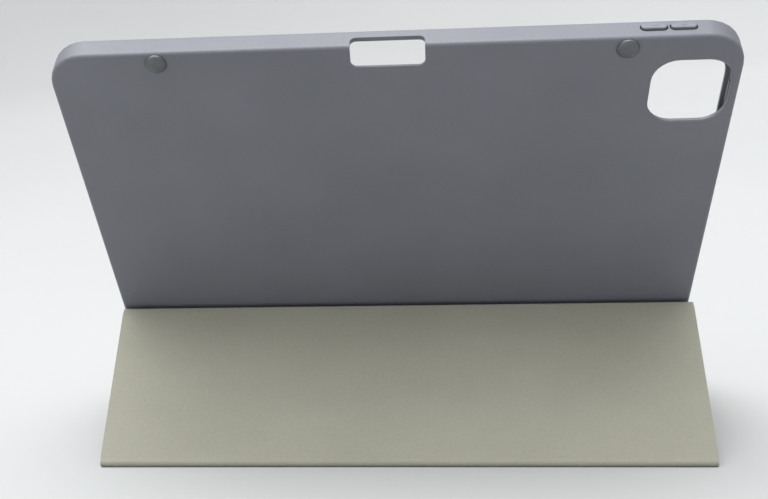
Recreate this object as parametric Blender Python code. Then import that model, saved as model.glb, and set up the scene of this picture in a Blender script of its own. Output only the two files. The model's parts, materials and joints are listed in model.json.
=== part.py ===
"""Tablet case with a pencil channel: a moulded back shell and a three-panel folding cover.

The case stands as an easel. The shell leans towards -Y, the first cover panel lies on the desk,
the second rises from its front edge, and the third lies against the back of the shell.

Frame: metres, +Z up, +X along the fold lines. The origin is the middle of the first panel's
underside, on the desk. A flat piece is modelled in its own frame: X across, Y away from its fold
axis, Z out of its lining. The shell's frame has Y up the shell and Z out of its back.
"""

import math

import bmesh
import bpy

MM = 0.001

# Shell
SHELL_WIDTH = 286 * MM
SHELL_HEIGHT = 231 * MM
SHELL_DEPTH = 10.4 * MM
SHELL_CORNER = 16 * MM
BACK_FILLET = 1.6 * MM
FRONT_FILLET = 0.8 * MM
BACK_WALL = 2.0 * MM
SIDE_WALL = 2.4 * MM
LIP_DEPTH = 1.5 * MM
LIP_OVERHANG = 1.6 * MM
LEAN = math.radians(56.3)

# What the shell holds
TABLET_CORNER = 14 * MM
PENCIL_LENGTH = 172 * MM
PENCIL_WIDTH = 9.2 * MM
PENCIL_PLAY = 2.0 * MM
CHANNEL_WALL = 2.0 * MM
CHANNEL_BACK = 1.1 * MM

# Openings
CAMERA_SIZE = 32.4 * MM
CAMERA_CORNER = 10.5 * MM
CAMERA_FROM_SIDE = 19.7 * MM
CAMERA_BELOW_TOP = 28.9 * MM
WINDOW_WIDTH = 30.6 * MM
WINDOW_BELOW_TOP = 10.6 * MM
WINDOW_DEPTH = 6.0 * MM
WINDOW_CORNER = 2.6 * MM
PORT_WIDTH = 14 * MM
PORT_DEPTH = 6.6 * MM
SPEAKER_LENGTH = 24 * MM
SPEAKER_DEPTH = 2.6 * MM
SPEAKER_FROM_MIDDLE = 62 * MM

# Buttons
BUTTON_LENGTH = 10.2 * MM
BUTTON_WIDTH = 3.4 * MM
BUTTON_PROUD = 1.1 * MM
BUTTON_SEAT = 1.5 * MM
BUTTON_GAP = 0.45 * MM
BUTTON_TRAVEL = 0.5 * MM
BUTTON_PITCH = 11.6 * MM
BUTTONS_FROM_SIDE = 30.9 * MM
BUTTON_DEPTH = 6.0 * MM
PLUNGER_INSET = 0.9 * MM
POWER_LENGTH = 14 * MM
POWER_BELOW_TOP = 34 * MM
POWER_SEAT = 0.8 * MM

# Rubber feet
FOOT_DIAMETER = 8.6 * MM
FOOT_HEIGHT = 2.4 * MM
FOOT_SEAT = 0.6 * MM
FOOT_FROM_SIDE = 47 * MM
FOOT_BELOW_TOP = 5.4 * MM

# Cover: three panels and a spine, each a skin, a board and a lining
COVER_PROUD = 0.3 * MM
COVER_SHIFT = 1.0 * MM
PANEL_1_LENGTH = 90.0 * MM
APEX_REACH = 69.25 * MM
PANEL_3_LENGTH = 48.0 * MM
SHEET = 0.5 * MM
BOARD = 0.6 * MM
COVER_CORNER = 15 * MM
SKIN_TURN = 0.8 * MM
BOARD_MARGIN = 1.0 * MM
PANEL_STANDOFF = 1.5 * MM
FOLD_GAP = 0.4 * MM
CLOSED_GAP = 0.5 * MM

# Anchor strip that holds the cover to the shell
ANCHOR_LENGTH = 15 * MM
ANCHOR_START = 2.4 * MM
ANCHOR_THICKNESS = 1.0 * MM
ADHESIVE_THICKNESS = 0.3 * MM
ADHESIVE_MARGIN = 3 * MM

# Magnets
MAGNET_DIAMETER = 10 * MM
MAGNET_FROM_EDGE = 12 * MM
MAGNET_FROM_SIDE = 25 * MM
MAGNET_PITCH = 76 * MM
WAKE_MAGNET_FROM_SIDE = 55 * MM
WAKE_MAGNET_DIAMETER = 6 * MM

SEAT_GAP = 0.3 * MM
ARC_STEPS = 7
PAST = 2 * MM

# Worked out from the values above
COVER_THICKNESS = 2 * SHEET + BOARD + 2 * SEAT_GAP
HALF_COVER = COVER_THICKNESS / 2
HINGE_OFFSET = HALF_COVER + CLOSED_GAP
SPINE_LENGTH = SHELL_DEPTH + 2 * HINGE_OFFSET
BASE_LENGTH = SPINE_LENGTH + PANEL_1_LENGTH
HINGE_Y = SPINE_LENGTH + PANEL_1_LENGTH / 2
COVER_LEFT = -SHELL_WIDTH / 2 - COVER_PROUD + COVER_SHIFT
COVER_RIGHT = SHELL_WIDTH / 2 + COVER_PROUD + COVER_SHIFT
TABLET_WIDTH = SHELL_WIDTH - 2 * SIDE_WALL
POCKET_FLOOR = SIDE_WALL
CHANNEL_TOP = SHELL_HEIGHT - CHANNEL_WALL
POCKET_TOP = CHANNEL_TOP - PENCIL_WIDTH - PENCIL_PLAY
POCKET_MIDDLE = (POCKET_FLOOR + POCKET_TOP) / 2
LIP_FLOOR = SHELL_DEPTH - LIP_DEPTH
CAMERA_X = SHELL_WIDTH / 2 - CAMERA_FROM_SIDE
CAMERA_Y = SHELL_HEIGHT - CAMERA_BELOW_TOP
BUTTONS_X = SHELL_WIDTH / 2 - BUTTONS_FROM_SIDE
FOOT_X = SHELL_WIDTH / 2 - FOOT_FROM_SIDE

UP_SHELL = math.pi - LEAN
COLOURS = {
    "shell": ((0.115, 0.120, 0.135, 1), 0.55, 0.0),
    "button": ((0.20, 0.21, 0.22, 1), 0.5, 0.0),
    "rubber": ((0.03, 0.03, 0.033, 1), 0.4, 0.0),
    "skin": ((0.12, 0.125, 0.14, 1), 0.65, 0.0),
    "lining": ((0.29, 0.285, 0.24, 1), 0.9, 0.0),
    "board": ((0.45, 0.40, 0.32, 1), 0.8, 0.0),
    "adhesive": ((0.6, 0.58, 0.5, 1), 0.5, 0.0),
    "magnet": ((0.6, 0.6, 0.62, 1), 0.3, 1.0),
}


def clear_scene():
    for obj in list(bpy.data.objects):
        bpy.data.objects.remove(obj)


def material(name):
    found = bpy.data.materials.get(name)
    if found:
        return found
    colour, roughness, metallic = COLOURS[name]
    made = bpy.data.materials.new(name)
    made.use_nodes = True
    shader = made.node_tree.nodes["Principled BSDF"]
    shader.inputs["Base Color"].default_value = colour
    shader.inputs["Roughness"].default_value = roughness
    shader.inputs["Metallic"].default_value = metallic
    return made


def frame(name, y, z, angle):
    """An empty on a fold axis, whose Y points along the piece, at an angle from +Y towards +Z."""
    empty = bpy.data.objects.new(name, None)
    bpy.context.scene.collection.objects.link(empty)
    empty.location = (0, y, z)
    empty.rotation_euler = (angle, 0, 0)
    return empty


def arc(centre, radius, start):
    """A quarter circle of points, anticlockwise from the start angle."""
    angles = [start + math.pi / 2 * k / ARC_STEPS for k in range(ARC_STEPS + 1)]
    return [(centre[0] + radius * math.cos(a), centre[1] + radius * math.sin(a)) for a in angles]


def rounded(x0, x1, y0, y1, radius, square_start=False):
    """A rectangle with round corners. With square_start, the two corners at y0 stay square."""
    outline = []
    if square_start:
        outline += [(x0, y0), (x1, y0)]
    else:
        outline += arc((x0 + radius, y0 + radius), radius, math.pi)
        outline += arc((x1 - radius, y0 + radius), radius, 1.5 * math.pi)
    outline += arc((x1 - radius, y1 - radius), radius, 0)
    outline += arc((x0 + radius, y1 - radius), radius, 0.5 * math.pi)
    return outline


def rectangle(x0, x1, y0, y1):
    return [(x0, y0), (x1, y0), (x1, y1), (x0, y1)]


def circle(x, y, radius, steps=32):
    turns = [2 * math.pi * k / steps for k in range(steps)]
    return [(x + radius * math.cos(a), y + radius * math.sin(a)) for a in turns]


def stack(name, layers, parent, look, plane="XY"):
    """A closed solid through outlines of equal length, each at its own height.

    plane says where the outline lies: XY with the height along Z, XZ with the height along Y,
    or ZY with the height along X.
    """
    place = {
        "XY": lambda a, b, h: (a, b, h),
        "XZ": lambda a, b, h: (a, h, -b),
        "ZY": lambda a, b, h: (h, a, b),
    }[plane]
    mesh = bmesh.new()
    rings = [[mesh.verts.new(place(a, b, h)) for a, b in outline] for outline, h in layers]
    mesh.faces.new(list(reversed(rings[0])))
    mesh.faces.new(rings[-1])
    for low, high in zip(rings, rings[1:]):
        count = len(low)
        for k in range(count):
            after = (k + 1) % count
            mesh.faces.new((low[k], low[after], high[after], high[k]))
    data = bpy.data.meshes.new(name)
    mesh.to_mesh(data)
    mesh.free()
    data.shade_smooth()
    data.set_sharp_from_angle(angle=math.radians(35))
    obj = bpy.data.objects.new(name, data)
    bpy.context.scene.collection.objects.link(obj)
    obj.parent = parent
    if look:
        data.materials.append(material(look))
    return obj


def prism(name, outline, low, high, parent, look, plane="XY"):
    return stack(name, [(outline, low), (outline, high)], parent, look, plane)


def cut(target, cutter):
    cutter.hide_render = True
    cutter.display_type = "WIRE"
    modifier = target.modifiers.new(cutter.name, "BOOLEAN")
    modifier.operation = "DIFFERENCE"
    modifier.solver = "EXACT"
    modifier.object = cutter


def cut_prism(target, name, outline, low, high, plane="XY"):
    cut(target, prism(name, outline, low, high, target.parent, None, plane))


def shell_outline(inset):
    half = SHELL_WIDTH / 2 - inset
    return rounded(-half, half, inset, SHELL_HEIGHT - inset, SHELL_CORNER - inset)


def shell_layers():
    """The outside of the shell, from its front (low Z) to its back, with both edges rounded."""
    layers = []
    for k in range(4):
        turn = math.pi / 2 * k / 3
        inset = FRONT_FILLET * (1 - math.sin(turn))
        layers.append((shell_outline(inset), -SHELL_DEPTH + FRONT_FILLET * (1 - math.cos(turn))))
    for k in range(6):
        turn = math.pi / 2 * k / 5
        inset = BACK_FILLET * (1 - math.cos(turn))
        layers.append((shell_outline(inset), -BACK_FILLET * (1 - math.sin(turn))))
    return layers


def cut_pocket(shell):
    half = TABLET_WIDTH / 2
    pocket = rounded(-half, half, POCKET_FLOOR, POCKET_TOP, TABLET_CORNER)
    cut_prism(shell, "tablet_pocket_cut", pocket, -LIP_FLOOR, -BACK_WALL)
    inner = half - LIP_OVERHANG
    low = POCKET_FLOOR + LIP_OVERHANG
    high = POCKET_TOP - LIP_OVERHANG
    mouth = rounded(-inner, inner, low, high, TABLET_CORNER - LIP_OVERHANG)
    cut_prism(shell, "screen_mouth_cut", mouth, -SHELL_DEPTH - PAST, -LIP_FLOOR + PAST)


def cut_channel(shell):
    """The pencil lies along the tablet's top edge, so its channel is open to the pocket."""
    half = PENCIL_LENGTH / 2
    channel = rounded(-half, half, POCKET_TOP - PAST, CHANNEL_TOP, PENCIL_WIDTH * 0.45)
    cut_prism(shell, "pencil_channel_cut", channel, -SHELL_DEPTH - PAST, -CHANNEL_BACK)


def cut_window(shell):
    """The window wraps over the top edge, so it is cut through the back and down into the rim."""
    half = WINDOW_WIDTH / 2
    low = SHELL_HEIGHT - WINDOW_BELOW_TOP
    back = rounded(-half, half, low, SHELL_HEIGHT + PAST, WINDOW_CORNER)
    cut_prism(shell, "window_back_cut", back, -BACK_WALL - PAST, PAST)
    rim = rounded(-half, half, -PAST, WINDOW_DEPTH, WINDOW_CORNER)
    middle = CHANNEL_TOP - PAST
    cut_prism(shell, "window_rim_cut", rim, middle, SHELL_HEIGHT + PAST, "XZ")


def cut_camera(shell):
    """A rounded square through the back, with a chamfered edge."""
    half = CAMERA_SIZE / 2
    chamfer = 0.6 * MM

    def outline(grow):
        reach = half + grow
        return rounded(
            CAMERA_X - reach, CAMERA_X + reach, CAMERA_Y - reach, CAMERA_Y + reach,
            CAMERA_CORNER + grow,
        )

    layers = [
        (outline(0), -BACK_WALL - PAST),
        (outline(0), -chamfer),
        (outline(chamfer + PAST), PAST),
    ]
    cut(shell, stack("camera_cut", layers, shell.parent, None))


def cut_ports(shell):
    """The charging port is in the middle of the -X wall, and both short walls have two speakers."""
    depth = BACK_WALL + (LIP_FLOOR - BACK_WALL) / 2
    wall = SHELL_WIDTH / 2
    inside = wall - SIDE_WALL - PAST
    port = rounded(
        POCKET_MIDDLE - PORT_WIDTH / 2, POCKET_MIDDLE + PORT_WIDTH / 2,
        -depth - PORT_DEPTH / 2, -depth + PORT_DEPTH / 2, PORT_DEPTH * 0.45,
    )
    cut_prism(shell, "port_cut", port, -wall - PAST, -inside, "ZY")
    for side, low in (("left", -wall - PAST), ("right", inside)):
        for end, sign in (("lower", -1), ("upper", 1)):
            middle = POCKET_MIDDLE + sign * SPEAKER_FROM_MIDDLE
            slot = rounded(
                middle - SPEAKER_LENGTH / 2, middle + SPEAKER_LENGTH / 2,
                -depth - SPEAKER_DEPTH / 2, -depth + SPEAKER_DEPTH / 2, SPEAKER_DEPTH * 0.45,
            )
            name = f"speaker_cut_{side}_{end}"
            cut_prism(shell, name, slot, low, low + SIDE_WALL + 2 * PAST, "ZY")


def pill(centre, depth, length, width):
    """A long rounded outline, as X and depth below the back, for a button."""
    return rounded(
        centre - length / 2, centre + length / 2, depth - width / 2, depth + width / 2,
        width * 0.47,
    )


def volume_button(name, centre, shell, parent):
    """A cap on the top edge, with a plunger through the solid rim to the tablet."""
    seat = SHELL_HEIGHT - BUTTON_SEAT
    rest = seat + BUTTON_TRAVEL + SEAT_GAP
    plunger_length = BUTTON_LENGTH - 4 * PLUNGER_INSET
    plunger_width = BUTTON_WIDTH - 2 * PLUNGER_INSET
    plunger = pill(centre, BUTTON_DEPTH, plunger_length, plunger_width)
    cap = pill(centre, BUTTON_DEPTH, BUTTON_LENGTH, BUTTON_WIDTH)
    edge = 0.35 * MM
    crown = pill(centre, BUTTON_DEPTH, BUTTON_LENGTH - 2 * edge, BUTTON_WIDTH - 2 * edge)
    top = SHELL_HEIGHT + BUTTON_PROUD
    layers = [
        (plunger, POCKET_TOP - BUTTON_TRAVEL), (plunger, rest),
        (cap, rest), (cap, top - edge), (crown, top),
    ]
    gap = 2 * BUTTON_GAP
    well = pill(centre, BUTTON_DEPTH, BUTTON_LENGTH + gap, BUTTON_WIDTH + gap)
    bore = pill(centre, BUTTON_DEPTH, plunger_length + gap, plunger_width + gap)
    cut_prism(shell, name + "_well_cut", well, seat, SHELL_HEIGHT + PAST, "XZ")
    cut_prism(shell, name + "_bore_cut", bore, POCKET_TOP - PAST, seat + PAST, "XZ")
    return stack(name, layers, parent, "button", "XZ")


def power_button(shell, parent):
    """A cap in the +X wall, with a short plunger to the tablet."""
    wall = SHELL_WIDTH / 2
    seat = wall - POWER_SEAT
    rest = seat + BUTTON_TRAVEL + SEAT_GAP
    centre = SHELL_HEIGHT - POWER_BELOW_TOP
    depth = -BUTTON_DEPTH
    cap = pill(centre, depth, POWER_LENGTH, BUTTON_WIDTH)
    plunger_length = POWER_LENGTH - 4 * PLUNGER_INSET
    plunger_width = BUTTON_WIDTH - 2 * PLUNGER_INSET
    plunger = pill(centre, depth, plunger_length, plunger_width)
    edge = 0.35 * MM
    crown = pill(centre, depth, POWER_LENGTH - 2 * edge, BUTTON_WIDTH - 2 * edge)
    top = wall + BUTTON_PROUD
    layers = [
        (plunger, TABLET_WIDTH / 2 - BUTTON_TRAVEL), (plunger, rest),
        (cap, rest), (cap, top - edge), (crown, top),
    ]
    gap = 2 * BUTTON_GAP
    well = pill(centre, depth, POWER_LENGTH + gap, BUTTON_WIDTH + gap)
    bore = pill(centre, depth, plunger_length + gap, plunger_width + gap)
    cut_prism(shell, "power_well_cut", well, seat, wall + PAST, "ZY")
    cut_prism(shell, "power_bore_cut", bore, TABLET_WIDTH / 2 - PAST, seat + PAST, "ZY")
    return stack("power_button", layers, parent, "button", "ZY")


def rubber_foot(name, x, shell, parent):
    """A domed foot in a shallow round seat on the back."""
    y = SHELL_HEIGHT - FOOT_BELOW_TOP
    radius = FOOT_DIAMETER / 2
    floor = -FOOT_SEAT + SEAT_GAP
    layers = [(circle(x, y, radius), floor)]
    steps = 7
    for k in range(steps):
        turn = math.pi / 2 * k / steps
        layers.append((circle(x, y, radius * math.cos(turn)), FOOT_HEIGHT * math.sin(turn)))
    seat = circle(x, y, radius + SEAT_GAP)
    cut_prism(shell, name + "_seat_cut", seat, -FOOT_SEAT, PAST)
    return stack(name, layers, parent, "rubber")


def back_shell(parent):
    shell = stack("back_shell", shell_layers(), parent, "shell")
    cut_pocket(shell)
    cut_channel(shell)
    cut_window(shell)
    cut_camera(shell)
    cut_ports(shell)
    return shell


def anchor(parent):
    """The glued strip at the foot of the shell's back, and the adhesive film under it."""
    half = SHELL_WIDTH / 2 - SHELL_CORNER / 4
    high = ANCHOR_START + ANCHOR_LENGTH
    low = SEAT_GAP
    film = rectangle(
        -half + ADHESIVE_MARGIN, half - ADHESIVE_MARGIN,
        ANCHOR_START + ADHESIVE_MARGIN, high - ADHESIVE_MARGIN,
    )
    prism("anchor_adhesive", film, low, low + ADHESIVE_THICKNESS, parent, "adhesive")
    strip = rounded(COVER_LEFT, COVER_RIGHT, ANCHOR_START, high, ANCHOR_THICKNESS * 3)
    strip_low = low + ADHESIVE_THICKNESS + SEAT_GAP
    prism("cover_anchor_strip", strip, strip_low, strip_low + ANCHOR_THICKNESS, parent, "skin")


def leaf(name, parent, start, end, free_end=False):
    """One stiff leaf of the cover: a tray of skin with turned edges, a board and a lining."""

    def outline(inset):
        edges = (COVER_LEFT + inset, COVER_RIGHT - inset, start + inset, end - inset)
        if free_end:
            return rounded(*edges, COVER_CORNER - inset, square_start=True)
        return rectangle(*edges)

    skin = prism(name + "_outer_skin", outline(0), -HALF_COVER, HALF_COVER, parent, "skin")
    inside = outline(SKIN_TURN)
    cut_prism(skin, name + "_tray_cut", inside, -HALF_COVER + SHEET, HALF_COVER + PAST)
    board = outline(SKIN_TURN + BOARD_MARGIN)
    board_low = -HALF_COVER + SHEET + SEAT_GAP
    board_solid = prism(name + "_board", board, board_low, board_low + BOARD, parent, "board")
    lining = outline(SKIN_TURN + SEAT_GAP)
    prism(name + "_lining", lining, HALF_COVER - SHEET, HALF_COVER, parent, "lining")
    return board_solid


def magnet(name, board, x, y, diameter):
    """A disc magnet in a round hole of the board."""
    low = -BOARD / 2
    hole = circle(x, y, diameter / 2 + SEAT_GAP, 20)
    cut_prism(board, name + "_hole_cut", hole, low - PAST, low + BOARD + PAST)
    disc = circle(x, y, diameter / 2, 20)
    prism(name, disc, low, low + BOARD, board.parent, "magnet")


def fold_setback(inner_angle):
    """How far a leaf stops short of a fold axis, so that two leaves clear at that inner angle."""
    return HALF_COVER / math.tan(inner_angle / 2) + FOLD_GAP


def stand_shape():
    """The stand's triangle: the second panel's length and rise, and the apex from the foot."""
    offset = HALF_COVER + PANEL_STANDOFF - HINGE_OFFSET
    up = (math.cos(UP_SHELL), math.sin(UP_SHELL))
    back = (math.cos(UP_SHELL + math.pi / 2), math.sin(UP_SHELL + math.pi / 2))
    apex_y = BASE_LENGTH + offset * back[0] + APEX_REACH * up[0]
    apex_z = offset * back[1] + APEX_REACH * up[1]
    return math.hypot(apex_y, apex_z), math.atan2(apex_z, apex_y), (apex_y, apex_z)


def build():
    clear_scene()
    panel_2_length, rise, apex = stand_shape()

    spine_axis = frame("spine_axis", HINGE_Y, HALF_COVER, math.pi)
    first_axis = frame("panel_1_axis", HINGE_Y - SPINE_LENGTH, HALF_COVER, math.pi)
    foot_y = HINGE_Y - BASE_LENGTH
    second_axis = frame("panel_2_axis", foot_y, HALF_COVER, rise)
    apex_y = foot_y + apex[0]
    apex_z = HALF_COVER + apex[1]
    third_axis = frame("panel_3_axis", apex_y, apex_z, -LEAN)

    up = (math.cos(UP_SHELL), math.sin(UP_SHELL))
    front = (math.sin(LEAN), math.cos(LEAN))
    shell_y = HINGE_Y + HINGE_OFFSET * (up[0] + front[0])
    shell_z = HALF_COVER + HINGE_OFFSET * (up[1] + front[1])
    shell_frame = frame("shell_frame", shell_y, shell_z, UP_SHELL)

    shell = back_shell(shell_frame)
    half_pitch = BUTTON_PITCH / 2
    volume_button("volume_minus_button", BUTTONS_X - half_pitch, shell, shell_frame)
    volume_button("volume_plus_button", BUTTONS_X + half_pitch, shell, shell_frame)
    power_button(shell, shell_frame)
    rubber_foot("rubber_foot_left", -FOOT_X, shell, shell_frame)
    rubber_foot("rubber_foot_right", FOOT_X, shell, shell_frame)
    anchor(shell_frame)

    apex_inner = math.pi - rise - LEAN
    at_hinge = fold_setback(LEAN)
    at_spine = fold_setback(math.pi / 2)
    at_foot = fold_setback(rise)
    at_apex = fold_setback(apex_inner)
    leaf("spine", spine_axis, at_hinge, SPINE_LENGTH - at_spine)
    leaf("panel_1", first_axis, at_spine, PANEL_1_LENGTH - at_foot)
    second = leaf("panel_2", second_axis, at_foot, panel_2_length - at_apex)
    third = leaf("panel_3", third_axis, at_apex, PANEL_3_LENGTH, free_end=True)
    magnet_y = PANEL_3_LENGTH - MAGNET_FROM_EDGE
    outer = SHELL_WIDTH / 2 - MAGNET_FROM_SIDE
    for number, x in enumerate((-outer, -outer + MAGNET_PITCH, outer - MAGNET_PITCH, outer), 1):
        magnet(f"closing_magnet_{number}", third, x, magnet_y, MAGNET_DIAMETER)
    wake_x = WAKE_MAGNET_FROM_SIDE - SHELL_WIDTH / 2
    wake_y = panel_2_length - MAGNET_FROM_EDGE
    magnet("wake_magnet", second, wake_x, wake_y, WAKE_MAGNET_DIAMETER)


build()
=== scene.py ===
"""The looks of the tablet case: finished copies of the hard pieces, folds and materials.

Metres, +Z up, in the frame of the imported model. The shell's own frame has X across, Y up the
shell and Z out of its back. A leaf of the cover has X across, Y away from its fold axis and Z
out of its lining.
"""

import json
import math

import bmesh
import bpy
from mathutils import Matrix, Vector

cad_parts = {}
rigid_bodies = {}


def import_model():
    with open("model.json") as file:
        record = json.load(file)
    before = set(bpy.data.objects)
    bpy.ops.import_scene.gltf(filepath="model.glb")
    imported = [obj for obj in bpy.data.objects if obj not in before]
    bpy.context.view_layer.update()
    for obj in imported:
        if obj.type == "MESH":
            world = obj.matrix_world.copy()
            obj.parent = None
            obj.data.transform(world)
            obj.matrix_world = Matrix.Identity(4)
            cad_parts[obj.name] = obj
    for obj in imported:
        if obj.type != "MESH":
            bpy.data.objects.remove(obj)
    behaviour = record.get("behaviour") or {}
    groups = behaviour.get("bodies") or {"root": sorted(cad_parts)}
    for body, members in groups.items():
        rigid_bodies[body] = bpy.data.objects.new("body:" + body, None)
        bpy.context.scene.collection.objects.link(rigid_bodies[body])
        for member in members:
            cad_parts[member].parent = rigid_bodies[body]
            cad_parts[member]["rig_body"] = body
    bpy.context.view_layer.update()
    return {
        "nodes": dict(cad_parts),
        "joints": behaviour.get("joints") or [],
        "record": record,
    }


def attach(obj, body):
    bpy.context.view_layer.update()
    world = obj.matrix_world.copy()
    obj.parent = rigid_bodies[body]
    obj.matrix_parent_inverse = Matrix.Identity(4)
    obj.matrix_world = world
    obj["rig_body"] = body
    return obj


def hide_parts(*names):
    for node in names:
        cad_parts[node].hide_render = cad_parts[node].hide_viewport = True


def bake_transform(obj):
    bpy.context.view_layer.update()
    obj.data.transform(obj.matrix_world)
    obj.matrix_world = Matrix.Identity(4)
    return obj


MM = 0.001

# Camera
CAMERA_PLACE = Vector((17.32, -548.28, 232.92)) * MM
CAMERA_PITCH = math.radians(13.9443)
CAMERA_YAW = math.radians(5.5379)
CAMERA_ROLL = math.radians(-2.3514)
CAMERA_LENS = 54.995
CAMERA_SENSOR = 36
CAMERA_SHIFT = (0.0791, -0.0066)

# Light: an area light has its place, target and size in metres and its power in watts
WORLD_COLOUR = (0.93, 0.96, 1.0, 1)
WORLD_STRENGTH = 0.42
SKY_STRENGTH = 4.4
SKY_SPREAD = math.radians(75)
SKY_TILT = (math.radians(12), math.radians(-10), 0)
AREA_LIGHTS = (
    ("overhead", (-0.15, -0.10, 1.2), (0, 0, 0.05), (0.9, 0.7), 5),
    ("left_front", (-1.1, -1.0, 0.8), (0, 0, 0.1), (0.8, 0.8), 3),
)

# Stage
FLOOR_RADIUS = 1.9
WALL_HEIGHT = 2.6
SWEEP_RADIUS = 0.9
SWEEP_STEPS = 16
STAGE_STEPS = 96
FLOOR_GAP = 0.1 * MM

# Folds: the room is a share of the shorter side
WEB_SHEET = 0.47 * MM
FLUSH_SHEET = 1.07 * MM
STRIP_SPLIT = 0.02 * MM
STRIP_TUCK = 0.35 * MM
STRIP_SIDE = 0.25 * MM
FOLD_RADIUS = 0.75 * MM
FOLD_ROOM = 0.8
FOLD_STEPS = 14
STRAIGHT_FOLD = math.radians(160)

# Rounded edges
SHELL_EDGE = 0.28 * MM
BUTTON_EDGE = 0.30 * MM
SKIN_EDGE = 0.26 * MM
LINING_EDGE = 0.20 * MM
LINING_SHEET = 0.5 * MM
LINING_CORNER = 0.6 * MM
COVER_CORNER = 15 * MM
CORNER_STEPS = 10
EDGE_STEPS = 3
STRIP_EDGE = 0.30 * MM
BEVEL_SEGMENTS = 3
SHARP_ANGLE = math.radians(38)
FLAT_ANGLE = math.radians(0.6)
WELD_DISTANCE = 0.001 * MM
FACE_AREA_WEIGHT = 90

# Rubber domes
DOME_SKIRT = 0.26 * MM
DOME_POINTS = 64
DOME_STEPS = 14
DOME_TIP = 0.04

# Button marks: the soft top and the upright are shares of the height, width and length
MARK_LENGTH = 2.5 * MM
MARK_WIDTH = 0.42 * MM
MARK_HEIGHT = 0.12 * MM
MARK_SINK = MARK_HEIGHT / 3
MARK_SOFT_FROM = 0.6
MARK_SOFT_INSET = 0.14
MARK_END_STEPS = 10
PLUS_UPRIGHT = 0.9

# Materials: the range that noise mostly keeps to, and a colour mix node's sockets
NOISE_RANGE = (0.3, 0.7)
MIX_FACTOR = 0
MIX_FIRST = 6
MIX_SECOND = 7
MIX_RESULT = 2

LEAVES = ("spine", "panel_1", "panel_2", "panel_3")


def joint_place(name):
    """Where a joint's axis is, as a point on the middle plane."""
    found = next(joint for joint in frame["joints"] if joint["name"] == name)
    return Vector(found["pos_m"])


def frame_matrix(origin, along):
    """A frame with X across, Y along the piece and Z square to both."""
    across = Vector((1, 0, 0))
    y_axis = along.normalized()
    z_axis = across.cross(y_axis)
    matrix = Matrix((across, y_axis, z_axis)).transposed().to_4x4()
    matrix.translation = origin
    return matrix


def local_box(node, matrix):
    """The lowest and highest corner of a CAD node, in a frame of its own."""
    inverse = matrix.inverted()
    points = [inverse @ vertex.co for vertex in frame["nodes"][node].data.vertices]
    low = Vector(min(point[k] for point in points) for k in range(3))
    high = Vector(max(point[k] for point in points) for k in range(3))
    return low, high


def seat_front():
    """The way out of the tablet's seat, square to the shell."""
    mounts = frame["record"]["mounts"]
    found = next(mount for mount in mounts if mount["name"] == "tablet_seat")
    return Vector(found["axis"])


def shell_matrix():
    """The shell's frame, with its origin at the foot of the back face."""
    back = -seat_front()
    up = back.cross(Vector((1, 0, 0)))
    turned = frame_matrix(Vector((0, 0, 0)), up)
    low, high = local_box("back_shell", turned)
    return frame_matrix(turned @ Vector((0, low.y, high.z)), up)


def leaf_matrices():
    """Each leaf's frame, on the axis that the leaf folds about."""
    hinge = joint_place("cover_swing")
    second = joint_place("panel_1_fold")
    foot = joint_place("panel_2_fold")
    apex = joint_place("panel_3_fold")
    down_shell = Vector((1, 0, 0)).cross(-seat_front())
    return {
        "spine": frame_matrix(hinge, second - hinge),
        "panel_1": frame_matrix(second, foot - second),
        "panel_2": frame_matrix(foot, apex - foot),
        "panel_3": frame_matrix(apex, down_shell),
    }


# Materials


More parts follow.
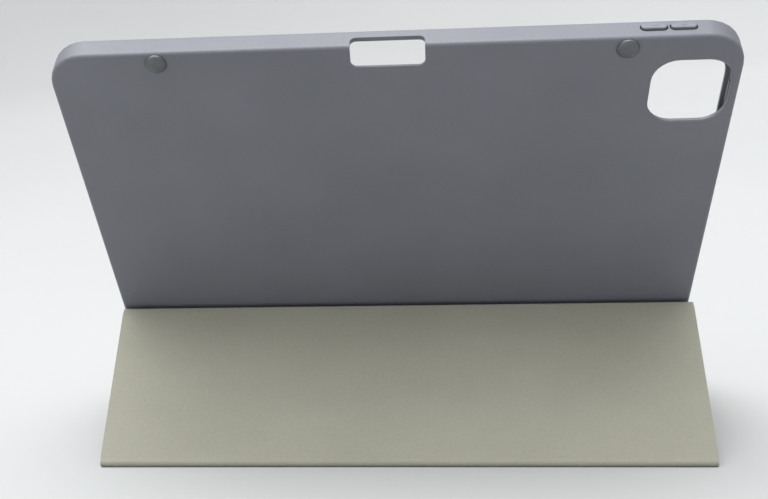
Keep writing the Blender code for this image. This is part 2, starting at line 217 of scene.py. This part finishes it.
class Graph:
    """A material's nodes, with short calls for the ones used here."""

    def __init__(self, name):
        self.material = bpy.data.materials.new(name)
        self.material.use_nodes = True
        self.tree = self.material.node_tree
        self.shader = self.tree.nodes["Principled BSDF"]
        self.place = self.node("ShaderNodeTexCoord").outputs["Object"]

    def node(self, kind):
        return self.tree.nodes.new(kind)

    def join(self, output, target):
        self.tree.links.new(output, target)

    def noise(self, size, detail, stretch=None):
        """Noise whose features are about size across, in metres."""
        texture = self.node("ShaderNodeTexNoise")
        texture.inputs["Scale"].default_value = 1 / size
        texture.inputs["Detail"].default_value = detail
        source = self.place
        if stretch:
            mapping = self.node("ShaderNodeMapping")
            mapping.inputs["Scale"].default_value = stretch
            self.join(source, mapping.inputs["Vector"])
            source = mapping.outputs["Vector"]
        self.join(source, texture.inputs["Vector"])
        return texture.outputs["Fac"]

    def cloud(self, size, detail, to_low=0, to_high=1, stretch=None):
        """Noise spread out to a range."""
        return self.spread(self.noise(size, detail, stretch), *NOISE_RANGE, to_low, to_high)

    def cells(self, size):
        """The distance from the middle of a cell, counted in cells about size across."""
        texture = self.node("ShaderNodeTexVoronoi")
        texture.inputs["Scale"].default_value = 1 / size
        self.join(self.place, texture.inputs["Vector"])
        return texture.outputs["Distance"]

    def spread(self, value, low, high, to_low, to_high):
        """Maps a value's range to another."""
        remap = self.node("ShaderNodeMapRange")
        settings = (("From Min", low), ("From Max", high), ("To Min", to_low), ("To Max", to_high))
        for socket, number in settings:
            remap.inputs[socket].default_value = number
        self.join(value, remap.inputs["Value"])
        return remap.outputs["Result"]

    def mix(self, value):
        """A colour mix node that a value drives."""
        mix = self.node("ShaderNodeMix")
        mix.data_type = "RGBA"
        self.join(value, mix.inputs[MIX_FACTOR])
        return mix

    def colours(self, value, first, second):
        """Mixes two plain colours by a value."""
        mix = self.mix(value)
        mix.inputs[MIX_FIRST].default_value = (*first, 1)
        mix.inputs[MIX_SECOND].default_value = (*second, 1)
        return mix.outputs[MIX_RESULT]

    def blend(self, value, first, second):
        """Mixes two linked colours by a value."""
        mix = self.mix(value)
        self.join(first, mix.inputs[MIX_FIRST])
        self.join(second, mix.inputs[MIX_SECOND])
        return mix.outputs[MIX_RESULT]

    def add(self, first, second, share):
        """The first value plus a share of the second."""
        maths = self.node("ShaderNodeMath")
        maths.operation = "MULTIPLY_ADD"
        multiplied, multiplier, added = maths.inputs
        self.join(second, multiplied)
        multiplier.default_value = share
        self.join(first, added)
        return maths.outputs["Value"]

    def bump(self, height, depth):
        """Relief from a height, which depth turns into metres."""
        relief = self.node("ShaderNodeBump")
        relief.inputs["Distance"].default_value = depth
        relief.inputs["Strength"].default_value = 1.0
        self.join(height, relief.inputs["Height"])
        self.join(relief.outputs["Normal"], self.shader.inputs["Normal"])

    def base(self, colour):
        self.join(colour, self.shader.inputs["Base Color"])

    def rough(self, value):
        self.join(value, self.shader.inputs["Roughness"])

    def still(self, **sockets):
        """Values that are the same all over."""
        for name, value in sockets.items():
            self.shader.inputs[name.replace("_", " ")].default_value = value


def shell_material():
    """Matt moulded polymer: a fine spark-eroded grain and a faint cloudiness."""
    graph = Graph("shell_moulded")
    cloud = graph.cloud(0.045, 3)
    tone = graph.colours(cloud, (0.134, 0.140, 0.164), (0.152, 0.158, 0.184))
    speck = graph.spread(graph.noise(0.35 * MM, 2), 0.35, 0.65, 0.0, 0.30)
    flecks = graph.colours(cloud, (0.170, 0.176, 0.202), (0.180, 0.186, 0.212))
    graph.base(graph.blend(speck, tone, flecks))
    graph.rough(graph.cloud(0.9 * MM, 2, 0.46, 0.58))
    graph.bump(graph.add(graph.noise(0.30 * MM, 3), graph.noise(1.1 * MM, 2), 0.5), 0.05 * MM)
    graph.still(Specular_IOR_Level=0.55)
    return graph.material


def button_material():
    """Satin moulded polymer, a little smoother than the shell."""
    graph = Graph("button_satin")
    cloud = graph.cloud(2.5 * MM, 2)
    graph.base(graph.colours(cloud, (0.150, 0.156, 0.178), (0.172, 0.178, 0.202)))
    graph.rough(graph.cloud(0.5 * MM, 2, 0.36, 0.46))
    graph.bump(graph.noise(0.25 * MM, 2), 0.02 * MM)
    return graph.material


def rubber_material():
    """Dark rubber with a soft shine."""
    graph = Graph("rubber_dark")
    cloud = graph.cloud(2.0 * MM, 2)
    graph.base(graph.colours(cloud, (0.085, 0.089, 0.100), (0.100, 0.104, 0.116)))
    graph.rough(graph.cloud(0.8 * MM, 3, 0.26, 0.34))
    graph.bump(graph.noise(0.4 * MM, 2), 0.015 * MM)
    return graph.material


def skin_material():
    """Coated fabric with a fine pebbled grain, and painted shade that darkens the valleys between
    the pebbles.
    """
    graph = Graph("skin_grain")
    cloud = graph.cloud(0.03, 3)
    valley_relief_and_shade = graph.spread(graph.cells(0.75 * MM), 0.0, 0.6, 0, 1)
    high = graph.colours(cloud, (0.170, 0.177, 0.197), (0.190, 0.197, 0.218))
    # painted shade: the low colour darkens the valleys between the pebbles, where the relief sinks
    low = graph.colours(cloud, (0.130, 0.136, 0.152), (0.142, 0.148, 0.164))
    graph.base(graph.blend(valley_relief_and_shade, high, low))
    graph.rough(graph.cloud(0.6 * MM, 2, 0.48, 0.62))
    graph.bump(graph.add(graph.noise(0.35 * MM, 2), valley_relief_and_shade, -0.9), 0.07 * MM)
    graph.still(Sheen_Weight=0.08, Sheen_Roughness=0.5)
    return graph.material


def lining_material():
    """Brushed microfibre: a short nap, streaks along X, and patches where it lies over."""
    graph = Graph("lining_microfibre")
    patches = graph.cloud(0.035, 3, stretch=(0.5, 1.0, 1.0))
    tone = graph.colours(patches, (0.268, 0.264, 0.214), (0.298, 0.293, 0.240))
    fibre = graph.spread(graph.noise(0.45 * MM, 3, (0.35, 1.0, 1.0)), 0.32, 0.68, 0, 0.42)
    pale = graph.colours(patches, (0.345, 0.340, 0.282), (0.362, 0.356, 0.297))
    graph.base(graph.blend(fibre, tone, pale))
    graph.rough(graph.cloud(1.5 * MM, 2, 0.86, 0.96))
    nap = graph.noise(0.30 * MM, 3, (0.5, 1.0, 1.0))
    graph.bump(graph.add(nap, graph.noise(2.2 * MM, 2), 0.6), 0.10 * MM)
    graph.still(Sheen_Weight=0.35, Sheen_Roughness=0.45, Specular_IOR_Level=0.25)
    return graph.material


def board_material():
    """Pressed fibre board."""
    graph = Graph("board_fibre")
    cloud = graph.cloud(1.2 * MM, 4)
    graph.base(graph.colours(cloud, (0.36, 0.31, 0.24), (0.50, 0.45, 0.37)))
    graph.rough(graph.cloud(0.7 * MM, 2, 0.75, 0.9))
    graph.bump(graph.noise(0.5 * MM, 3), 0.03 * MM)
    return graph.material


def adhesive_material():
    """A pale film of adhesive."""
    graph = Graph("adhesive_film")
    cloud = graph.cloud(3.0 * MM, 3)
    graph.base(graph.colours(cloud, (0.52, 0.50, 0.42), (0.64, 0.62, 0.54)))
    graph.rough(graph.cloud(1.5 * MM, 2, 0.3, 0.5))
    graph.bump(graph.noise(1.0 * MM, 2), 0.02 * MM)
    return graph.material


def magnet_material():
    """Plated metal."""
    graph = Graph("magnet_plated")
    cloud = graph.cloud(1.5 * MM, 3)
    graph.base(graph.colours(cloud, (0.55, 0.55, 0.57), (0.66, 0.66, 0.68)))
    graph.rough(graph.cloud(0.4 * MM, 2, 0.22, 0.34))
    graph.bump(graph.noise(0.3 * MM, 2), 0.01 * MM)
    graph.still(Metallic=1.0)
    return graph.material


def stage_material():
    """A plain pale surface for the floor and backdrop."""
    graph = Graph("stage_white")
    cloud = graph.cloud(0.5, 2)
    graph.base(graph.colours(cloud, (0.440, 0.447, 0.447), (0.455, 0.462, 0.462)))
    graph.still(Roughness=0.7, Specular_IOR_Level=0.2)
    return graph.material


MAKERS = {
    "shell": shell_material,
    "button": button_material,
    "rubber": rubber_material,
    "skin": skin_material,
    "lining": lining_material,
    "board": board_material,
    "adhesive": adhesive_material,
    "magnet": magnet_material,
}


def paint(obj, look):
    """Gives a CAD node or a new piece its material."""
    obj.data.materials.clear()
    obj.data.materials.append(materials[look])


# Pieces


def new_object(name, data):
    """An object in the scene, for a mesh, a light or a camera."""
    obj = bpy.data.objects.new(name, data)
    bpy.context.scene.collection.objects.link(obj)
    return obj


def smooth_object(name, mesh):
    """An object from a bmesh, which is freed, shaded smooth up to its sharp edges."""
    data = bpy.data.meshes.new(name)
    mesh.to_mesh(data)
    mesh.free()
    data.shade_smooth()
    data.set_sharp_from_angle(angle=SHARP_ANGLE)
    return new_object(name, data)


def finished(node, look, edge):
    """A copy of a CAD node's mesh with its flat faces joined up and its sharp edges rounded."""
    source = frame["nodes"][node]
    body = source["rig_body"]
    mesh = bmesh.new()
    mesh.from_mesh(source.data)
    bmesh.ops.remove_doubles(mesh, verts=mesh.verts, dist=WELD_DISTANCE)
    bmesh.ops.dissolve_limit(
        mesh, angle_limit=FLAT_ANGLE, verts=mesh.verts, edges=mesh.edges
    )
    piece = smooth_object(node + "_finished", mesh)
    rounding = piece.modifiers.new("rounded_edges", "BEVEL")
    rounding.width = edge
    rounding.segments = BEVEL_SEGMENTS
    rounding.limit_method = "ANGLE"
    rounding.angle_limit = SHARP_ANGLE
    rounding.harden_normals = True
    rounding.use_clamp_overlap = True
    shading = piece.modifiers.new("even_shading", "WEIGHTED_NORMAL")
    shading.weight = FACE_AREA_WEIGHT
    shading.keep_sharp = True
    paint(piece, look)
    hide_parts(node)
    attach(piece, body)
    return piece


def join_rings(mesh, low, high):
    """Faces all the way round between two rings with the same number of points."""
    count = len(low)
    for k in range(count):
        after = (k + 1) % count
        mesh.faces.new((low[k], low[after], high[after], high[k]))


def ring_mesh(name, rings):
    """A closed solid through rings of points, the first ring below the last."""
    mesh = bmesh.new()
    loops = [[mesh.verts.new(point) for point in ring] for ring in rings]
    mesh.faces.new(list(reversed(loops[0])))
    mesh.faces.new(loops[-1])
    for low, high in zip(loops, loops[1:]):
        join_rings(mesh, low, high)
    return smooth_object(name, mesh)


def rubber_dome(node):
    """A smooth dome whose skirt covers the gap round its seat."""
    matrix = shell_matrix()
    low, high = local_box(node, matrix)
    middle_x = (low.x + high.x) / 2
    middle_y = (low.y + high.y) / 2
    radius = (high.x - low.x) / 2
    layers = [(radius, low.z), (radius, 0)]
    for k in range(DOME_STEPS + 1):
        turn = math.pi / 2 * (1 - DOME_TIP) * k / DOME_STEPS
        layers.append(((radius + DOME_SKIRT) * math.cos(turn), high.z * math.sin(turn)))
    turns = [2 * math.pi * k / DOME_POINTS for k in range(DOME_POINTS)]
    rings = []
    for reach, z in layers:
        rings.append([
            matrix @ Vector((middle_x + reach * math.cos(a), middle_y + reach * math.sin(a), z))
            for a in turns
        ])
    dome = ring_mesh(node + "_finished", rings)
    paint(dome, "rubber")
    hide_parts(node)
    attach(dome, frame["nodes"][node]["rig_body"])


def leaf_outline(low, high, inset, far_radius):
    """A leaf's outline as X and Y, with its far corners rounder than the ones at its fold."""
    corners = (
        (low.x, low.y, 1, 1, LINING_CORNER), (high.x, low.y, -1, 1, LINING_CORNER),
        (high.x, high.y, -1, -1, far_radius), (low.x, high.y, 1, -1, far_radius),
    )
    points = []
    for quarter, (x, y, in_x, in_y, radius) in enumerate(corners):
        for k in range(CORNER_STEPS + 1):
            turn = math.pi + math.pi / 2 * (quarter + k / CORNER_STEPS)
            reach = radius - inset
            points.append((
                x + in_x * radius + reach * math.cos(turn),
                y + in_y * radius + reach * math.sin(turn),
            ))
    return points


def leaf_lining(leaf, matrix):
    """The lining runs out to the leaf's edges, over the rim of the tray, with soft edges."""
    low, high = local_box(leaf + "_outer_skin", matrix)
    far_radius = COVER_CORNER if leaf == "panel_3" else LINING_CORNER
    levels = []
    for k in range(EDGE_STEPS + 1):
        turn = math.pi / 2 * k / EDGE_STEPS
        levels.append((LINING_EDGE * (1 - math.sin(turn)), LINING_EDGE * (1 - math.cos(turn))))
    bottom = high.z - LINING_SHEET
    layers = [(inset, bottom + rise) for inset, rise in levels]
    layers += [(inset, high.z - rise) for inset, rise in reversed(levels)]
    rings = []
    for inset, z in layers:
        outline = leaf_outline(low, high, inset, far_radius)
        rings.append([matrix @ Vector((x, y, z)) for x, y in outline])
    lining = ring_mesh(leaf + "_lining_finished", rings)
    paint(lining, "lining")
    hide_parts(leaf + "_lining")
    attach(lining, leaf)


def lower_rim(skin, leaf, matrix):
    """Lets the tray's rim end under the lining."""
    top = local_box(leaf + "_outer_skin", matrix)[1].z
    down = matrix.to_3x3() @ Vector((0, 0, -LINING_SHEET))
    inverse = matrix.inverted()
    for vertex in skin.data.vertices:
        if (inverse @ vertex.co).z > top - LINING_SHEET / 2:
            vertex.co += down


def mark_bar(name, length, matrix):
    """A small bar with round ends and a softened top, lying on z 0 of its frame."""
    soft_from = MARK_HEIGHT * MARK_SOFT_FROM
    soft_inset = MARK_WIDTH * MARK_SOFT_INSET
    rings = []
    for inset, level in ((0, 0), (0, soft_from), (soft_inset, MARK_HEIGHT)):
        radius = MARK_WIDTH / 2 - inset
        ring = []
        for side in (1, -1):
            for k in range(MARK_END_STEPS + 1):
                turn = -math.pi / 2 + math.pi * k / MARK_END_STEPS
                x = side * (length / 2 - MARK_WIDTH / 2 + radius * math.cos(turn))
                y = side * radius * math.sin(turn)
                ring.append(matrix @ Vector((x, y, level)))
        rings.append(ring)
    return ring_mesh(name, rings)


def button_marks():
    """A raised minus and plus on the two volume buttons."""
    to_top = Matrix(((1, 0, 0), (0, 0, 1), (0, -1, 0))).to_4x4()
    top_frame = shell_matrix() @ to_top
    for node, turns in (("volume_minus_button", (0,)), ("volume_plus_button", (0, 1))):
        low, high = local_box(node, top_frame)
        middle = Vector(((low.x + high.x) / 2, (low.y + high.y) / 2, high.z - MARK_SINK))
        for turn in turns:
            place = Matrix.Translation(middle) @ Matrix.Rotation(turn * math.pi / 2, 4, "Z")
            length = MARK_LENGTH if turn == 0 else MARK_LENGTH * PLUS_UPRIGHT
            mark = mark_bar(f"{node}_mark_{turn + 1}", length, top_frame @ place)
            paint(mark, "button")
            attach(mark, frame["nodes"][node]["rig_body"])


def fold_path(first, corner, last):
    """A path from first to last, straight at its ends and rounded where it turns at corner."""
    inward = (first - corner).normalized()
    onward = (last - corner).normalized()
    half_angle = inward.angle(onward) / 2
    room = FOLD_ROOM * min((first - corner).length, (last - corner).length)
    if half_angle > STRAIGHT_FOLD / 2:
        turn_length = room / 2
    else:
        turn_length = min(FOLD_RADIUS / math.tan(half_angle), room)
    start = corner + inward * turn_length
    end = corner + onward * turn_length
    weight = math.sin(half_angle)
    path = [first, first.lerp(start, 0.5)]
    for k in range(FOLD_STEPS + 1):
        s = k / FOLD_STEPS
        shares = ((1 - s) ** 2, 2 * weight * s * (1 - s), s * s)
        point = start * shares[0] + corner * shares[1] + end * shares[2]
        path.append(point / sum(shares))
    path += [last.lerp(end, 0.5), last]
    return path


def fold_strip(name, path, low, high, left, right, look):
    """A sheet along a path across the middle plane, from offset low to offset high."""
    sections = []
    for k, point in enumerate(path):
        ahead = path[min(k + 1, len(path) - 1)] - path[max(k - 1, 0)]
        normal = Vector((1, 0, 0)).cross(ahead.normalized())
        sections.append((point + normal * low, point + normal * high))
    outline = [section[0] for section in sections]
    outline += [section[1] for section in reversed(sections)]
    mesh = bmesh.new()
    ends = []
    for x in (left, right):
        ends.append([mesh.verts.new(Vector((x, point.y, point.z))) for point in outline])
    join_rings(mesh, *ends)
    last = len(outline) - 1
    for k in range(len(path) - 1):
        for end, flip in ((ends[0], True), (ends[1], False)):
            quad = [end[k], end[k + 1], end[last - k - 1], end[last - k]]
            mesh.faces.new(list(reversed(quad)) if flip else quad)
    bmesh.ops.recalc_face_normals(mesh, faces=mesh.faces)
    strip = smooth_object(name, mesh)
    paint(strip, look)
    return strip


def fold(name, first, corner, last, left, right, skin_sheet, lining_sheet):
    """The skin and the lining run on across a fold, pressed together without a board."""
    path = fold_path(first, corner, last)
    layers = (("skin", -skin_sheet, -STRIP_SPLIT), ("lining", STRIP_SPLIT, lining_sheet))
    for look, low, high in layers:
        strip = fold_strip(f"{name}_{look}", path, low, high, left, right, look)
        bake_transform(strip)


def folds():
    """The four folds: shell to spine, and on from leaf to leaf."""
    matrices = leaf_matrices()
    boxes = {leaf: local_box(leaf + "_outer_skin", matrices[leaf]) for leaf in LEAVES}
    left = boxes["spine"][0].x + STRIP_SIDE
    right = boxes["spine"][1].x - STRIP_SIDE
    shell = shell_matrix()
    anchor_low, anchor_high = local_box("cover_anchor_strip", shell)
    anchor_middle = (anchor_low.z + anchor_high.z) / 2

    def leaf_end(leaf):
        return matrices[leaf] @ Vector((0, boxes[leaf][1].y - STRIP_TUCK, 0))

    def leaf_start(leaf):
        return matrices[leaf] @ Vector((0, boxes[leaf][0].y + STRIP_TUCK, 0))

    anchor_end = shell @ Vector((0, anchor_low.y + STRIP_TUCK, anchor_middle))
    web = WEB_SHEET
    flush = FLUSH_SHEET
    corners = {
        "spine": ("hinge_fold", "shell", anchor_end, "cover_swing", web, web),
        "panel_1": ("edge_fold", "spine", leaf_end("spine"), "panel_1_fold", flush, flush),
        "panel_2": ("foot_fold", "panel_1", leaf_end("panel_1"), "panel_2_fold", web, flush),
        "panel_3": ("apex_fold", "panel_2", leaf_end("panel_2"), "panel_3_fold", web, flush),
    }
    for leaf, (name, before, first, joint, skin, lining) in corners.items():
        corner = joint_place(joint)
        last = leaf_start(leaf)
        fold(name, first, corner, last, left, right, skin, lining)


def finished_pieces():
    """The pieces that take the place of CAD nodes."""
    finished("back_shell", "shell", SHELL_EDGE)
    for node in ("volume_minus_button", "volume_plus_button", "power_button"):
        finished(node, "button", BUTTON_EDGE)
    for node in ("rubber_foot_left", "rubber_foot_right"):
        rubber_dome(node)
    finished("cover_anchor_strip", "skin", STRIP_EDGE)
    for leaf, matrix in leaf_matrices().items():
        skin = finished(leaf + "_outer_skin", "skin", SKIN_EDGE)
        lower_rim(skin, leaf, matrix)
        leaf_lining(leaf, matrix)


def inner_pieces():
    """The pieces that stay as the CAD has them, each with its finish."""
    for node, obj in frame["nodes"].items():
        if obj.hide_render:
            continue
        if "magnet" in node:
            paint(obj, "magnet")
        elif "adhesive" in node:
            paint(obj, "adhesive")
        else:
            paint(obj, "board")


# Stage, light and camera


def stage():
    """A round floor that sweeps up into a backdrop all the way round."""
    profile = [(FLOOR_RADIUS, -FLOOR_GAP)]
    for k in range(1, SWEEP_STEPS + 1):
        turn = math.pi / 2 * k / SWEEP_STEPS
        radius = FLOOR_RADIUS + SWEEP_RADIUS * math.sin(turn)
        profile.append((radius, -FLOOR_GAP + SWEEP_RADIUS * (1 - math.cos(turn))))
    profile.append((FLOOR_RADIUS + SWEEP_RADIUS, WALL_HEIGHT))
    mesh = bmesh.new()
    turns = [2 * math.pi * k / STAGE_STEPS for k in range(STAGE_STEPS)]
    rings = []
    for radius, z in profile:
        points = [(radius * math.cos(a), radius * math.sin(a), z) for a in turns]
        rings.append([mesh.verts.new(point) for point in points])
    mesh.faces.new(rings[0])
    for low, high in zip(rings, rings[1:]):
        join_rings(mesh, high, low)
    data = bpy.data.meshes.new("floor_and_backdrop")
    mesh.to_mesh(data)
    mesh.free()
    data.shade_smooth()
    data.materials.append(stage_material())
    new_object("floor_and_backdrop", data)


def area_light(name, place, target, size, power):
    """A rectangular light at a place, turned towards its target."""
    data = bpy.data.lights.new(name, "AREA")
    data.shape = "RECTANGLE"
    data.size = size[0]
    data.size_y = size[1]
    data.energy = power
    lamp = new_object(name, data)
    lamp.location = place
    direction = Vector(target) - Vector(place)
    lamp.rotation_euler = direction.to_track_quat("-Z", "Y").to_euler()


def lights():
    """An even world, a wide soft light from above and two area lights."""
    world = bpy.data.worlds.new("studio")
    bpy.context.scene.world = world
    world.use_nodes = True
    background = world.node_tree.nodes["Background"]
    background.inputs["Color"].default_value = WORLD_COLOUR
    background.inputs["Strength"].default_value = WORLD_STRENGTH
    sky = bpy.data.lights.new("soft_sky", "SUN")
    sky.energy = SKY_STRENGTH
    sky.angle = SKY_SPREAD
    new_object("soft_sky", sky).rotation_euler = SKY_TILT
    for settings in AREA_LIGHTS:
        area_light(*settings)


def camera():
    """The camera, turned by its yaw, then down by its pitch, then by its roll."""
    data = bpy.data.cameras.new("photo_view")
    data.sensor_width = CAMERA_SENSOR
    data.lens = CAMERA_LENS
    data.shift_x, data.shift_y = CAMERA_SHIFT
    obj = new_object("photo_view", data)
    level_right = Vector((math.cos(CAMERA_YAW), math.sin(CAMERA_YAW), 0))
    level_forward = Vector((-math.sin(CAMERA_YAW), math.cos(CAMERA_YAW), 0))
    down = Vector((0, 0, -1))
    forward = level_forward * math.cos(CAMERA_PITCH) + down * math.sin(CAMERA_PITCH)
    level_up = level_forward * math.sin(CAMERA_PITCH) - down * math.cos(CAMERA_PITCH)
    right = level_right * math.cos(CAMERA_ROLL) + level_up * math.sin(CAMERA_ROLL)
    up = level_up * math.cos(CAMERA_ROLL) - level_right * math.sin(CAMERA_ROLL)
    turned = Matrix((right, up, -forward)).transposed().to_4x4()
    obj.matrix_world = Matrix.Translation(CAMERA_PLACE) @ turned
    bpy.context.scene.camera = obj


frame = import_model()
materials = {look: make() for look, make in MAKERS.items()}
camera()
lights()
stage()
finished_pieces()
inner_pieces()
button_marks()
folds()
bpy.context.scene.view_settings.view_transform = "Standard"
